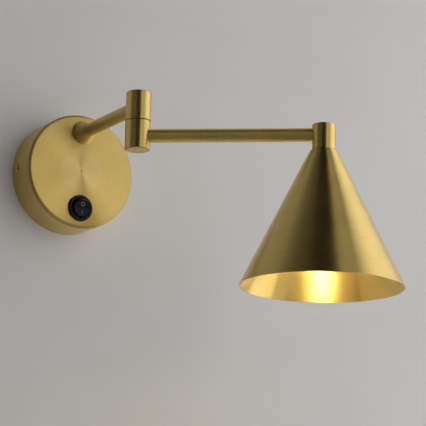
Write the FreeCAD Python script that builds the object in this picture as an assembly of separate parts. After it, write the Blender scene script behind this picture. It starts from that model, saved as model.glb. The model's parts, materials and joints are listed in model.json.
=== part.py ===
import FreeCAD
import Part
import math
import os

# Swing-arm wall lamp with a conical metal shade, in millimetres.
# +Z is up, the wall is the plane y = 0, and the lamp stands out from it towards -Y.
# The origin is on the wall behind the middle of the round canopy.

# ---------------------------------------------------------------- driving sizes
# Canopy: a spun cup that hides the bracket and the wiring
CANOPY_RADIUS = 50.0
CANOPY_DEPTH = 33.0
CANOPY_WALL = 1.0
CANOPY_EDGE_ROUNDING = 2.15
CENTRE_DIMPLE_RADIUS = 0.7
CENTRE_DIMPLE_DEPTH = 0.4

# Steel bracket behind the canopy
BRACKET_THICKNESS = 1.5
BRACKET_WIDTH = 24.0
BRACKET_PLATE_LENGTH = 86.0
BRACKET_EAR_WIDTH = 12.0
BRACKET_EAR_PAST_SCREW = 5.5
WALL_SCREW_SPACING = 74.0
WALL_SLOT_WIDTH = 4.6
WALL_SLOT_LENGTH = 8.0
CABLE_HOLE_RADIUS = 7.0
GROMMET_BORE_RADIUS = 3.5
GROMMET_LIP = 1.5
GROMMET_ROUNDING = 0.7
EARTH_SCREW_X = -20.0

# Screws that hold the canopy to the bracket's ears, and the earth screw
SMALL_SCREW_RADIUS = 1.95
SMALL_SCREW_HEAD_RADIUS = 3.4
SMALL_SCREW_HEAD_HEIGHT = 2.0
SMALL_SCREW_HEAD_ROUNDING = 1.2
SMALL_SCREW_LENGTH = 7.0
SMALL_SCREW_TIP_ROUNDING = 0.3
SCREW_SLOT_WIDTH = 0.9
SCREW_SLOT_DEPTH = 1.0
COVER_SCREW_FROM_WALL = 8.5

# Three-way terminal block on the bracket
BLOCK_WAYS = 3
BLOCK_PITCH = 7.0
BLOCK_FIRST_X = 12.5
BLOCK_LENGTH = 15.0
BLOCK_HEIGHT = 12.0
BLOCK_WIRE_HEIGHT = 5.5
BLOCK_NOTCH = 1.0
BLOCK_NOTCH_DEPTH = 3.0
SLEEVE_RADIUS = 2.3
SLEEVE_BORE_RADIUS = 1.5
SLEEVE_SHORTER = 1.0
CLAMP_SCREW_RADIUS = 1.5
CLAMP_SCREW_OFFSET = 3.6
CLAMP_SCREW_SUNK = 1.0

# Round rocker switch snapped into the canopy
SWITCH_BELOW_CENTRE = 32.7
SWITCH_BEZEL_RADIUS = 11.5
SWITCH_BEZEL_HEIGHT = 2.0
SWITCH_BEZEL_ROUNDING = 1.2
SWITCH_WELL_ROUNDING = 0.4
SWITCH_BARREL_RADIUS = 9.85
SWITCH_BARREL_DEPTH = 14.0
SWITCH_BACK_WALL = 1.5
SWITCH_BACK_ROUNDING = 0.6
SNAP_WING_WIDTH = 6.0
SNAP_WING_LENGTH = 4.0
SNAP_WING_PROUD = 0.6
ROCKER_RADIUS = 8.5
ROCKER_GAP = 0.3
ROCKER_PIVOT_HEIGHT = 0.6
ROCKER_FACE_HEIGHT = 4.0
ROCKER_FACE_ANGLE = 6.0
ROCKER_BACK = 2.6
ROCKER_TILT = 9.0
ROCKER_STEM_RADIUS = 2.3
ROCKER_STEM_BORE_RADIUS = 1.3
ROCKER_STEM_LENGTH = 8.0
ROCKER_STEM_BORE_DEPTH = 6.0
TRUNNION_RADIUS = 1.25
TRUNNION_LENGTH = 0.9
PLUNGER_RADIUS = 1.2
PLUNGER_LENGTH = 3.4
PLUNGER_SHOWING = 2.0
PLUNGER_NOSE_ROUNDING = 1.08
BLADE_WIDTH = 4.8
BLADE_THICKNESS = 0.8
BLADE_OUTSIDE = 7.5
BLADE_EAR_WIDTH = 0.5
BLADE_EAR_HEIGHT = 1.5
BLADE_PAD_LENGTH = 3.0

# Seesaw contact that rocks on the middle blade's rounded edge, under the plunger
SEESAW_LENGTH = 14.6
SEESAW_WIDTH = 5.0
SEESAW_THICKNESS = 0.6
SEESAW_NOTCH_LENGTH = 1.6
SEESAW_TILT = 6.0
BUTTON_RADIUS = 1.2
BUTTON_HEIGHT = 0.4
BUTTON_ROUNDING = 0.2
BUTTON_FROM_MIDDLE = 6.0

# Both arms are the same tube
TUBE_RADIUS = 5.7
TUBE_WALL = 1.1
ARM_ABOVE_CENTRE = 34.5
INNER_ARM_REACH = 100.7
OUTER_ARM_REACH = 153.8
REST_SWING = 53.2

# Conical flange and the hollow stud that clamp the inner arm to the canopy
FLANGE_BASE_RADIUS = 10.4
FLANGE_TIP_RADIUS = 6.3
FLANGE_LENGTH = 12.0
FLANGE_BASE_ROUNDING = 0.3
FLANGE_TIP_ROUNDING = 0.2
STUD_BORE_RADIUS = 3.0
STUD_IN_TUBE = 12.0
STUD_PAST_NUT = 1.2
NUT_ACROSS_FLATS = 14.0
NUT_HEIGHT = 3.0
WASHER_RADIUS = 7.5
WASHER_THICKNESS = 0.8

# Elbow: two equal barrels that turn on a hollow pivot
KNUCKLE_RADIUS = 10.5
KNUCKLE_HEIGHT = 24.4
KNUCKLE_BORE_RADIUS = 7.5
KNUCKLE_WEB = 3.0
KNUCKLE_EDGE_ROUNDING = 0.9
KNUCKLE_SEAM_ROUNDING = 0.25
KNUCKLE_SEAM = 0.5
TUBE_END_FROM_AXIS = 6.0
CAP_THICKNESS = 2.5
CAP_EDGE_ROUNDING = 0.3
PIVOT_RADIUS = 4.96
PIVOT_BORE_RADIUS = 3.0
PIVOT_HEAD_RADIUS = 6.5
PIVOT_HEAD_HEIGHT = 1.5
PIVOT_EDGE_ROUNDING = 0.3
PIVOT_MOUTH_ROUNDING = 0.8
FRICTION_WASHER_RADIUS = 9.6
WAVE_WASHER_RADIUS = 6.9
WAVE_WASHER_THICKNESS = 0.6
PIVOT_NUT_ACROSS_FLATS = 12.3
PIVOT_NUT_HEIGHT = 2.4

# Head barrel that carries the shade
HEAD_RADIUS = 9.8
HEAD_HEIGHT = 21.8
HEAD_TOP_ABOVE_ARM = 8.5
HEAD_BORE_RADIUS = 7.0
HEAD_TOP_WALL = 2.0
HEAD_WEB = 3.0
HEAD_EDGE_ROUNDING = 1.1
HEAD_SEAM_ROUNDING = 0.3
HEAD_INNER_ROUNDING = 0.5
HEAD_STUD_INSIDE = 1.0

# Spun cone shade
SHADE_TOP_RADIUS = 11.1
SHADE_RIM_RADIUS = 67.4
SHADE_HEIGHT = 113.8
SHADE_WALL = 0.9
SHADE_SHOULDER = 2.5
SHADE_RIM_ROUNDING = 0.27

# Lampholder under the shade's top, and the plug-in lamp
STIRRUP_HALF_SPAN = 9.3
STIRRUP_WIDTH = 7.0
STIRRUP_EYE_RADIUS = 8.0
STIRRUP_THICKNESS = 1.0
STIRRUP_LEG = 15.0
STIRRUP_INNER_BEND = 0.2
HOLDER_RADIUS = 8.2
HOLDER_LENGTH = 18.0
HOLDER_COLLAR_RADIUS = 10.0
HOLDER_COLLAR_LENGTH = 6.0
HOLDER_EDGE_ROUNDING = 0.8
HOLDER_BELOW_STUD = 1.0
HOLDER_RIVET_RADIUS = 1.2
HOLDER_RIVET_LENGTH = 1.8
HOLDER_RIVET_HEAD_RADIUS = 2.0
HOLDER_RIVET_HEAD = 0.7
HOLDER_RIVET_ROUNDING = 0.6
SOCKET_WIDTH = 14.4
SOCKET_THICKNESS = 6.4
SOCKET_DEPTH = 5.0
PIN_SPACING = 9.0
PIN_RADIUS = 0.7
PIN_LENGTH = 6.5
PIN_HOLE_RADIUS = 1.7
PIN_HOLE_DEPTH = 8.0
CONTACT_WALL = 0.5
TONGUE_CLEARANCE = 0.2
LAMP_BASE_RADIUS = 8.2
LAMP_BASE_LENGTH = 12.0
LAMP_BASE_TOP_ROUNDING = 1.0
LAMP_BASE_FOOT_ROUNDING = 0.5
LAMP_COVER_RADIUS = 8.0
LAMP_COVER_LENGTH = 34.0
LAMP_COVER_WALL = 1.0
LAMP_DOME_SHARE = 0.98
LAMP_CORE_RADIUS = 4.5
LAMP_CORE_LENGTH = 27.0
LAMP_CORE_SEAT = 2.0

# Wiring
FLEX_RADIUS = 1.7
FLEX_BEND = 5.0
CORE_RADIUS = 0.8
CORE_BEND = 4.0
FLEX_SPLIT_GAP = 0.3
FLEX_OUT_OF_BLOCK = 12.0
FLEX_TOWARDS_FRONT = 6.0
LEAD_OUT_OF_BLOCK = 9.0
LEAD_BEHIND_BLADE = 6.0

# Clearances
FIT = 0.02
RUNNING_FIT = 0.07
TRUNNION_FIT = 0.05
AXIAL_PLAY = 0.05
SCREW_CLEARANCE = 0.25
CONTACT_GAP = 0.1
BRACKET_CLEARANCE = 0.35
SMALL_GAP = 0.3

# ---------------------------------------------------------------- places that follow
ORIGIN = FreeCAD.Vector(0, 0, 0)
UP = FreeCAD.Vector(0, 0, 1)
DOWN = FreeCAD.Vector(0, 0, -1)
OUT = FreeCAD.Vector(0, -1, 0)
TO_WALL = FreeCAD.Vector(0, 1, 0)
RIGHT = FreeCAD.Vector(1, 0, 0)

PANEL = CANOPY_DEPTH
PANEL_BACK = CANOPY_DEPTH - CANOPY_WALL
CANOPY_INSIDE = CANOPY_RADIUS - CANOPY_WALL
TUBE_BORE = TUBE_RADIUS - TUBE_WALL
STUD_RADIUS = TUBE_BORE - FIT
ELBOW_REACH = PANEL + INNER_ARM_REACH

UPPER_BOTTOM = ARM_ABOVE_CENTRE - KNUCKLE_HEIGHT / 2
UPPER_TOP = UPPER_BOTTOM + KNUCKLE_HEIGHT
LOWER_TOP = UPPER_BOTTOM - KNUCKLE_SEAM
LOWER_BOTTOM = LOWER_TOP - KNUCKLE_HEIGHT
LOWER_ARM_Z = LOWER_BOTTOM + KNUCKLE_HEIGHT / 2
WAVE_TOP = LOWER_TOP - KNUCKLE_WEB - AXIAL_PLAY
PIVOT_NUT_TOP = WAVE_TOP - WAVE_WASHER_THICKNESS
PIVOT_END = PIVOT_NUT_TOP - PIVOT_NUT_HEIGHT

SWING = math.radians(REST_SWING)
ALONG_OUTER_ARM = FreeCAD.Vector(math.sin(SWING), -math.cos(SWING), 0)
ELBOW = FreeCAD.Vector(0, -ELBOW_REACH, 0)
HEAD = ELBOW + ALONG_OUTER_ARM * OUTER_ARM_REACH

HEAD_TOP = LOWER_ARM_Z + HEAD_TOP_ABOVE_ARM
HEAD_BOTTOM = HEAD_TOP - HEAD_HEIGHT
SHADE_TOP = HEAD_BOTTOM
STIRRUP_TOP = SHADE_TOP - SHADE_WALL
HEAD_NUT_TOP = STIRRUP_TOP - STIRRUP_THICKNESS
HEAD_STUD_END = HEAD_NUT_TOP - NUT_HEIGHT - STUD_PAST_NUT
HOLDER_TOP = HEAD_STUD_END - HOLDER_BELOW_STUD
HOLDER_BOTTOM = HOLDER_TOP - HOLDER_LENGTH
RIVET_Z = STIRRUP_TOP - STIRRUP_LEG + STIRRUP_WIDTH / 2
LAMP_COVER_TOP = HOLDER_BOTTOM - SMALL_GAP - LAMP_BASE_LENGTH


# ---------------------------------------------------------------- shaping helpers
def at(centre, z):
    """The point at height z on the upright axis through centre."""
    return FreeCAD.Vector(centre.x, centre.y, z)


def from_wall(x, distance, z):
    """The point that stands out from the wall by distance."""
    return FreeCAD.Vector(x, -distance, z)


def placed(shape, base, direction):
    """The shape with its own +Z turned to direction and its origin at base."""
    shape.Placement = FreeCAD.Placement(base, FreeCAD.Rotation(UP, direction))
    return shape


def rod(radius, base, direction, length):
    """A round bar from base along direction."""
    return Part.makeCylinder(radius, length, base, direction)


def ring(outer, inner, base, direction, length):
    """A straight tube from base along direction."""
    return rod(outer, base, direction, length).cut(rod(inner, base, direction, length))


def block(centre, size_x, size_y, size_z):
    """A box about its centre."""
    corner = centre - FreeCAD.Vector(size_x, size_y, size_z) / 2
    return Part.makeBox(size_x, size_y, size_z, corner)


def outline(corners):
    """A closed wire in the XZ plane through (x, z, rounding) corners."""
    points = [FreeCAD.Vector(x, 0, z) for x, z, _ in corners]
    edges = []
    ends = []
    for index, (_, _, rounding) in enumerate(corners):
        here = points[index]
        back = (points[index - 1] - here).normalize()
        ahead = (points[(index + 1) % len(points)] - here).normalize()
        if rounding == 0:
            ends.append((here, here))
            continue
        half = back.getAngle(ahead) / 2
        cut = rounding / math.tan(half)
        inward = (back + ahead).normalize()
        start = here + back * cut
        end = here + ahead * cut
        middle = here + inward * (rounding / math.sin(half) - rounding)
        edges.append(Part.Arc(start, middle, end).toShape())
        ends.append((start, end))
    for index, (_, leave) in enumerate(ends):
        arrive = ends[(index + 1) % len(ends)][0]
        if leave.distanceToPoint(arrive) > FIT / 10:
            edges.append(Part.makeLine(leave, arrive))
    return Part.Wire(Part.sortEdges(edges)[0])


def turned(corners, base, direction):
    """A turned solid from (radius, height, rounding) corners, heights along direction."""
    solid = Part.Face(outline(corners)).revolve(ORIGIN, UP, 360)
    return placed(solid, base, direction)


def hexagon_nut(across_flats, bore, base, direction, height):
    """A hexagon nut from base along direction."""
    corner = across_flats / math.sqrt(3)
    points = [FreeCAD.Vector(corner * math.cos(math.radians(60 * i)),
                             corner * math.sin(math.radians(60 * i)), 0) for i in range(7)]
    prism = Part.Face(Part.makePolygon(points)).extrude(UP * height)
    return placed(prism.cut(rod(bore, ORIGIN, UP, height)), base, direction)


def pan_head_screw(seat, direction, length, shank):
    """A slotted pan-head screw whose head sits on seat and whose shank runs along direction."""
    head = SMALL_SCREW_HEAD_HEIGHT
    body = turned([(0, head, 0), (SMALL_SCREW_HEAD_RADIUS, head, SMALL_SCREW_HEAD_ROUNDING),
                   (SMALL_SCREW_HEAD_RADIUS, 0, 0), (shank, 0, 0),
                   (shank, -length, SMALL_SCREW_TIP_ROUNDING), (0, -length, 0)], ORIGIN, UP)
    slot = block(UP * (head - SCREW_SLOT_DEPTH / 2), 3 * SMALL_SCREW_HEAD_RADIUS,
                 SCREW_SLOT_WIDTH, SCREW_SLOT_DEPTH)
    return placed(body.cut(slot), seat, direction * -1)


def flexible(points, radius, bend):
    """A round lead through points, each corner rounded by bend or by what its runs allow."""
    edges = []
    last = points[0]
    tightest = bend
    for index in range(1, len(points) - 1):
        here = points[index]
        back = points[index - 1] - here
        ahead = points[index + 1] - here
        run = min(back.Length, ahead.Length)
        back.normalize()
        ahead.normalize()
        half = back.getAngle(ahead) / 2
        rounding = min(bend, 0.49 * run * math.tan(half))
        tightest = min(tightest, rounding)
        cut = rounding / math.tan(half)
        inward = (back + ahead).normalize()
        start = here + back * cut
        end = here + ahead * cut
        middle = here + inward * (rounding / math.sin(half) - rounding)
        edges.append(Part.makeLine(last, start))
        edges.append(Part.Arc(start, middle, end).toShape())
        last = end
    edges.append(Part.makeLine(last, points[-1]))
    path = Part.Wire(edges)
    section = Part.Wire(Part.makeCircle(radius, points[0], points[1] - points[0]))
    lead = path.makePipeShell([section], True, False)
    straight = math.pi * radius ** 2 * path.Length
    print("lead: tightest bend %.1f, length %.0f, volume share %.3f"
          % (tightest, path.Length, lead.Volume / straight))
    return lead


def one_of(shapes):
    """Separate like solids kept together as one group."""
    return Part.makeCompound(shapes)


# ---------------------------------------------------------------- on the wall
def ear_face():
    """Distance from the middle to an ear's outer face, just inside the canopy's wall."""
    return math.sqrt(CANOPY_INSIDE ** 2 - (BRACKET_EAR_WIDTH / 2) ** 2) - BRACKET_CLEARANCE


def wall_bracket():
    """A folded strip: slots for the wall screws, and an ear at each end for a cover screw."""
    reach = ear_face()
    ear = COVER_SCREW_FROM_WALL + BRACKET_EAR_PAST_SCREW
    thick = BRACKET_THICKNESS
    fold = outline([(-reach, 0, 2 * thick), (reach, 0, 2 * thick), (reach, ear, 0),
                    (reach - thick, ear, 0), (reach - thick, thick, thick),
                    (-reach + thick, thick, thick), (-reach + thick, ear, 0), (-reach, ear, 0)])
    strip = Part.Face(fold).extrude(FreeCAD.Vector(0, BRACKET_EAR_WIDTH, 0))
    strip.Placement = FreeCAD.Placement(FreeCAD.Vector(0, 0, -BRACKET_EAR_WIDTH / 2),
                                        FreeCAD.Rotation(RIGHT, 90))
    plate = block(from_wall(0, thick / 2, 0), BRACKET_PLATE_LENGTH, thick, BRACKET_WIDTH)
    upright = [edge for edge in plate.Edges if abs(edge.tangentAt(edge.FirstParameter).y) > 0.9]
    plate = plate.makeFillet(2 * thick, upright)
    bracket = strip.fuse(plate).removeSplitter()
    bracket = bracket.cut(rod(CABLE_HOLE_RADIUS, ORIGIN, OUT, thick))
    bracket = bracket.cut(rod(SMALL_SCREW_RADIUS + FIT, from_wall(EARTH_SCREW_X, 0, 0), OUT, thick))
    for side in (-1, 1):
        middle = side * WALL_SCREW_SPACING / 2
        straight = WALL_SLOT_LENGTH - WALL_SLOT_WIDTH
        slot = block(from_wall(middle, thick / 2, 0), straight, thick, WALL_SLOT_WIDTH)
        for end in (-1, 1):
            round_end = from_wall(middle + end * straight / 2, 0, 0)
            slot = slot.fuse(rod(WALL_SLOT_WIDTH / 2, round_end, OUT, thick))
        bracket = bracket.cut(slot)
        tapped = from_wall(side * (reach - 2 * thick), COVER_SCREW_FROM_WALL, 0)
        bracket = bracket.cut(rod(SMALL_SCREW_RADIUS + FIT, tapped, RIGHT * side, 3 * thick))
    return bracket


def cable_grommet():
    """A rubber ring in the bracket's cable hole, lipped on the room side."""
    hole = CABLE_HOLE_RADIUS - FIT
    thick = BRACKET_THICKNESS
    lip = hole + GROMMET_LIP
    front = thick + GROMMET_LIP
    return turned([(GROMMET_BORE_RADIUS, 0, 0), (hole, 0, 0), (hole, thick, 0), (lip, thick, 0),
                   (lip, front, GROMMET_ROUNDING), (GROMMET_BORE_RADIUS, front, GROMMET_ROUNDING)],
                  ORIGIN, OUT)


def earth_screw():
    """The screw that clamps the earth wire to the bracket."""
    length = BRACKET_THICKNESS
    return pan_head_screw(from_wall(EARTH_SCREW_X, BRACKET_THICKNESS, 0), TO_WALL, length,
                          SMALL_SCREW_RADIUS)


def cover_screws():
    """The two screws through the canopy's side into the bracket's ears."""
    screws = []
    for side in (-1, 1):
        seat = from_wall(side * (CANOPY_RADIUS + FIT), COVER_SCREW_FROM_WALL, 0)
        screws.append(pan_head_screw(seat, RIGHT * -side, SMALL_SCREW_LENGTH, SMALL_SCREW_RADIUS))
    return one_of(screws)


def canopy_cover():
    """The spun cup, with holes for its side screws, the switch and the arm's stud."""
    inner_rounding = CANOPY_EDGE_ROUNDING - CANOPY_WALL
    cup = turned([(0, PANEL, 0), (CANOPY_RADIUS, PANEL, CANOPY_EDGE_ROUNDING),
                  (CANOPY_RADIUS, 0, 0), (CANOPY_INSIDE, 0, 0),
                  (CANOPY_INSIDE, PANEL_BACK, inner_rounding), (0, PANEL_BACK, 0)], ORIGIN, OUT)
    dimple = Part.makeCone(0, CENTRE_DIMPLE_RADIUS, CENTRE_DIMPLE_DEPTH,
                           from_wall(0, PANEL - CENTRE_DIMPLE_DEPTH, 0), OUT)
    cup = cup.cut(dimple)
    arm_hole = rod(STUD_RADIUS + SCREW_CLEARANCE, from_wall(0, PANEL_BACK, ARM_ABOVE_CENTRE),
                   OUT, CANOPY_WALL)
    switch_hole = rod(SWITCH_BARREL_RADIUS + FIT, from_wall(0, PANEL_BACK, -SWITCH_BELOW_CENTRE),
                      OUT, CANOPY_WALL)
    across = from_wall(-CANOPY_RADIUS, COVER_SCREW_FROM_WALL, 0)
    side_holes = rod(SMALL_SCREW_RADIUS + SCREW_CLEARANCE, across, RIGHT, 2 * CANOPY_RADIUS)
    return cup.cut([arm_hole, switch_hole, side_holes])


# ---------------------------------------------------------------- terminal block
def block_ways():
    """The x of each way of the terminal block."""
    return [BLOCK_FIRST_X + i * BLOCK_PITCH for i in range(BLOCK_WAYS)]


def terminal_block():
    """A moulded strip of wire tunnels, notched between its ways."""
    ways = block_ways()
    middle_x = (ways[0] + ways[-1]) / 2
    centre = from_wall(middle_x, BRACKET_THICKNESS + BLOCK_HEIGHT / 2, 0)
    body = block(centre, BLOCK_WAYS * BLOCK_PITCH, BLOCK_HEIGHT, BLOCK_LENGTH)
    front = BRACKET_THICKNESS + BLOCK_HEIGHT
    for x in ways[1:]:
        notch = from_wall(x - BLOCK_PITCH / 2, front - BLOCK_NOTCH_DEPTH / 2, 0)
        body = body.cut(block(notch, BLOCK_NOTCH, BLOCK_NOTCH_DEPTH, BLOCK_LENGTH))
    wire = BRACKET_THICKNESS + BLOCK_WIRE_HEIGHT
    for x in ways:
        body = body.cut(rod(SLEEVE_RADIUS + FIT, from_wall(x, wire, -BLOCK_LENGTH / 2), UP,
                            BLOCK_LENGTH))
        for side in (-1, 1):
            well = from_wall(x, wire, side * CLAMP_SCREW_OFFSET)
            body = body.cut(rod(CLAMP_SCREW_RADIUS + FIT, well, OUT, BLOCK_HEIGHT))
    return body


def terminal_sleeves():
    """The brass tubes that hold the wire ends, one in each way."""
    wire = BRACKET_THICKNESS + BLOCK_WIRE_HEIGHT
    length = BLOCK_LENGTH - 2 * SLEEVE_SHORTER
    sleeves = []
    for x in block_ways():
        sleeve = ring(SLEEVE_RADIUS, SLEEVE_BORE_RADIUS, from_wall(x, wire, -length / 2), UP, length)
        for side in (-1, 1):
            tapped = from_wall(x, wire, side * CLAMP_SCREW_OFFSET)
            sleeve = sleeve.cut(rod(CLAMP_SCREW_RADIUS + FIT, tapped, OUT, SLEEVE_RADIUS + 1))
        sleeves.append(sleeve)
    return one_of(sleeves)


def terminal_screws():
    """Two slotted grub screws in each way of the terminal block."""
    start = BRACKET_THICKNESS + BLOCK_WIRE_HEIGHT + CORE_RADIUS
    length = BRACKET_THICKNESS + BLOCK_HEIGHT - CLAMP_SCREW_SUNK - start
    screws = []
    for x in block_ways():
        for side in (-1, 1):
            base = from_wall(x, start, side * CLAMP_SCREW_OFFSET)
            grub = rod(CLAMP_SCREW_RADIUS, base, OUT, length)
            slot = block(base + OUT * length, 3 * CLAMP_SCREW_RADIUS, SCREW_SLOT_DEPTH,
                         CLAMP_SCREW_RADIUS / 2)
            screws.append(grub.cut(slot))
    return one_of(screws)


# ---------------------------------------------------------------- rocker switch
def switch_place(height, x=0.0, z=0.0):
    """A point by its height over the canopy's front, about the switch's middle."""
    return from_wall(x, PANEL + height, z - SWITCH_BELOW_CENTRE)


def seesaw_axis():
    """The height of the middle blade's rounded edge, on which the seesaw rocks."""
    plunger_tip = ROCKER_PIVOT_HEIGHT - ROCKER_STEM_LENGTH - PLUNGER_SHOWING
    underside = plunger_tip - CONTACT_GAP - SEESAW_THICKNESS
    return underside - RUNNING_FIT - BLADE_THICKNESS / 2


def pad_height():
    """The height of the outer blade's pad, just clear of the seesaw's button at its lowest."""
    tip = math.radians(SEESAW_TILT)
    down = (BUTTON_FROM_MIDDLE + BUTTON_RADIUS) * math.sin(tip)
    up = (BLADE_THICKNESS / 2 + RUNNING_FIT - BUTTON_HEIGHT) * math.cos(tip)
    return seesaw_axis() - down + up - CONTACT_GAP


def blade(z, inner, margin):
    """A flat blade through the switch's back wall, inwards to a height, grown all round by margin."""
    outer = -SWITCH_BARREL_DEPTH - BLADE_OUTSIDE
    return block(switch_place((inner + outer) / 2, 0, z), BLADE_WIDTH + 2 * margin,
                 inner - outer, BLADE_THICKNESS + 2 * margin)


def switch_housing():
    """The black body: bezel, open well for the rocker, closed back and two snap wings."""
    opening = ROCKER_RADIUS + ROCKER_GAP
    back = -SWITCH_BARREL_DEPTH
    shell = turned([(opening, SWITCH_BEZEL_HEIGHT, SWITCH_WELL_ROUNDING),
                    (SWITCH_BEZEL_RADIUS, SWITCH_BEZEL_HEIGHT, SWITCH_BEZEL_ROUNDING),
                    (SWITCH_BEZEL_RADIUS, 0, 0), (SWITCH_BARREL_RADIUS, 0, 0),
                    (SWITCH_BARREL_RADIUS, back, SWITCH_BACK_ROUNDING), (0, back, 0),
                    (0, back + SWITCH_BACK_WALL, 0), (opening, back + SWITCH_BACK_WALL, 0)],
                   switch_place(0), OUT)
    wing_height = -CANOPY_WALL - SMALL_GAP - SNAP_WING_LENGTH / 2
    for side in (-1, 1):
        half = (SWITCH_BARREL_RADIUS + SNAP_WING_PROUD - opening) / 2
        centre = switch_place(wing_height, side * (opening + half))
        wing = block(centre, 2 * half, SNAP_WING_LENGTH, SNAP_WING_WIDTH)
        shell = shell.fuse(wing)
    well = rod(opening, switch_place(back + SWITCH_BACK_WALL), OUT, SWITCH_BARREL_DEPTH)
    trunnions = rod(TRUNNION_RADIUS + TRUNNION_FIT,
                    switch_place(ROCKER_PIVOT_HEIGHT, -opening - TRUNNION_LENGTH), RIGHT,
                    2 * (opening + TRUNNION_LENGTH))
    slots = [blade(z, seesaw_axis(), FIT) for z in (0, BUTTON_FROM_MIDDLE)]
    for hollow in [well, trunnions] + slots:
        shell = shell.cut(hollow)
    return shell


def switch_terminals():
    """The two contact blades: the middle one eared round its edge, the outer one with a pad."""
    axis = seesaw_axis()
    middle = blade(0, axis, 0).fuse(rod(BLADE_THICKNESS / 2, switch_place(axis, -BLADE_WIDTH / 2),
                                        RIGHT, BLADE_WIDTH))
    for side in (-1, 1):
        ear = switch_place(axis + BLADE_EAR_HEIGHT / 2, side * (BLADE_WIDTH - BLADE_EAR_WIDTH) / 2)
        middle = middle.fuse(block(ear, BLADE_EAR_WIDTH, BLADE_EAR_HEIGHT, BLADE_THICKNESS))
    face = pad_height()
    seat = SWITCH_BACK_WALL - SWITCH_BARREL_DEPTH + FIT
    pad = block(switch_place((face + seat) / 2, 0, BUTTON_FROM_MIDDLE), BLADE_WIDTH, face - seat,
                BLADE_PAD_LENGTH)
    outer = blade(BUTTON_FROM_MIDDLE, face, 0).fuse(pad).removeSplitter()
    return one_of([middle, outer])


def tipped(shape, height, angle):
    """A copy of a piece modelled level, tipped about the level axis at height by angle."""
    turn = shape.copy()
    turn.rotate(switch_place(height), RIGHT, angle)
    return turn


def switch_seesaw():
    """The waisted brass strip between the middle blade's ears, its button down on the pad."""
    axis = seesaw_axis()
    underside = axis + BLADE_THICKNESS / 2 + RUNNING_FIT
    middle = underside + SEESAW_THICKNESS / 2
    strip = block(switch_place(middle), SEESAW_WIDTH, SEESAW_THICKNESS, SEESAW_LENGTH)
    strip = strip.common(rod(SEESAW_LENGTH / 2, switch_place(underside), OUT, SEESAW_THICKNESS))
    waist = BLADE_WIDTH / 2 - BLADE_EAR_WIDTH - CONTACT_GAP
    notch = SEESAW_WIDTH / 2 - waist
    for side in (-1, 1):
        strip = strip.cut(block(switch_place(middle, side * (waist + notch / 2)), notch,
                                SEESAW_THICKNESS, SEESAW_NOTCH_LENGTH))
    button = turned([(0, 0, 0), (BUTTON_RADIUS, 0, 0), (BUTTON_RADIUS, BUTTON_HEIGHT, BUTTON_ROUNDING),
                     (0, BUTTON_HEIGHT, 0)], switch_place(underside, 0, BUTTON_FROM_MIDDLE), TO_WALL)
    return tipped(strip.fuse(button), axis, -SEESAW_TILT)


def switch_rocker():
    """A round rocker with a shallow V face, two trunnions and a hollow stem behind."""
    pivot = switch_place(ROCKER_PIVOT_HEIGHT)
    ball = Part.makeSphere(ROCKER_RADIUS, pivot)
    span = 4 * ROCKER_RADIUS
    for side in (-1, 1):
        bottom = -span if side < 0 else 0
        cutter = Part.makeBox(span, span, span, FreeCAD.Vector(-span / 2, -span, bottom))
        cutter.rotate(ORIGIN, RIGHT, side * ROCKER_FACE_ANGLE)
        cutter.translate(pivot + OUT * ROCKER_FACE_HEIGHT)
        ball = ball.cut(cutter)
    behind = block(pivot + TO_WALL * (ROCKER_BACK + span / 2), span, span, span)
    body = ball.cut(behind)
    body = body.fuse(rod(ROCKER_STEM_RADIUS, pivot, TO_WALL, ROCKER_STEM_LENGTH))
    reach = ROCKER_RADIUS + TRUNNION_LENGTH
    body = body.fuse(rod(TRUNNION_RADIUS, pivot - RIGHT * reach, RIGHT, 2 * reach))
    bore = pivot + TO_WALL * (ROCKER_STEM_LENGTH - ROCKER_STEM_BORE_DEPTH)
    body = body.cut(rod(ROCKER_STEM_BORE_RADIUS, bore, TO_WALL, ROCKER_STEM_BORE_DEPTH))
    return tipped(body.removeSplitter(), ROCKER_PIVOT_HEIGHT, ROCKER_TILT)


def switch_plunger():
    """The round-nosed pin that slides in the rocker's stem."""
    nose = ROCKER_STEM_LENGTH + PLUNGER_SHOWING
    pin = turned([(0, nose, 0), (PLUNGER_RADIUS, nose, PLUNGER_NOSE_ROUNDING),
                  (PLUNGER_RADIUS, nose - PLUNGER_LENGTH, 0), (0, nose - PLUNGER_LENGTH, 0)],
                 switch_place(ROCKER_PIVOT_HEIGHT), TO_WALL)
    return tipped(pin, ROCKER_PIVOT_HEIGHT, ROCKER_TILT)


def switch_spring():
    """The spring behind the plunger, as the sleeve that its coils fill."""
    start = ROCKER_STEM_LENGTH - ROCKER_STEM_BORE_DEPTH
    length = ROCKER_STEM_LENGTH + PLUNGER_SHOWING - PLUNGER_LENGTH - start
    base = switch_place(ROCKER_PIVOT_HEIGHT) + TO_WALL * start
    sleeve = ring(PLUNGER_RADIUS, PLUNGER_RADIUS / 2, base, TO_WALL, length)
    return tipped(sleeve, ROCKER_PIVOT_HEIGHT, ROCKER_TILT)


# ---------------------------------------------------------------- inner arm
def arm_flange():
    """The turned cone at the arm's root."""
    bore = TUBE_RADIUS + FIT
    return turned([(bore, 0, 0), (FLANGE_BASE_RADIUS, 0, FLANGE_BASE_ROUNDING),
                   (FLANGE_TIP_RADIUS, FLANGE_LENGTH, FLANGE_TIP_ROUNDING), (bore, FLANGE_LENGTH, 0)],
                  from_wall(0, PANEL, ARM_ABOVE_CENTRE), OUT)


def arm_stud():
    """The hollow threaded stud from inside the tube through the canopy's front."""
    behind = WASHER_THICKNESS + NUT_HEIGHT + STUD_PAST_NUT
    start = from_wall(0, PANEL_BACK - behind, ARM_ABOVE_CENTRE)
    return ring(STUD_RADIUS, STUD_BORE_RADIUS, start, OUT, behind + CANOPY_WALL + STUD_IN_TUBE)


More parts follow.
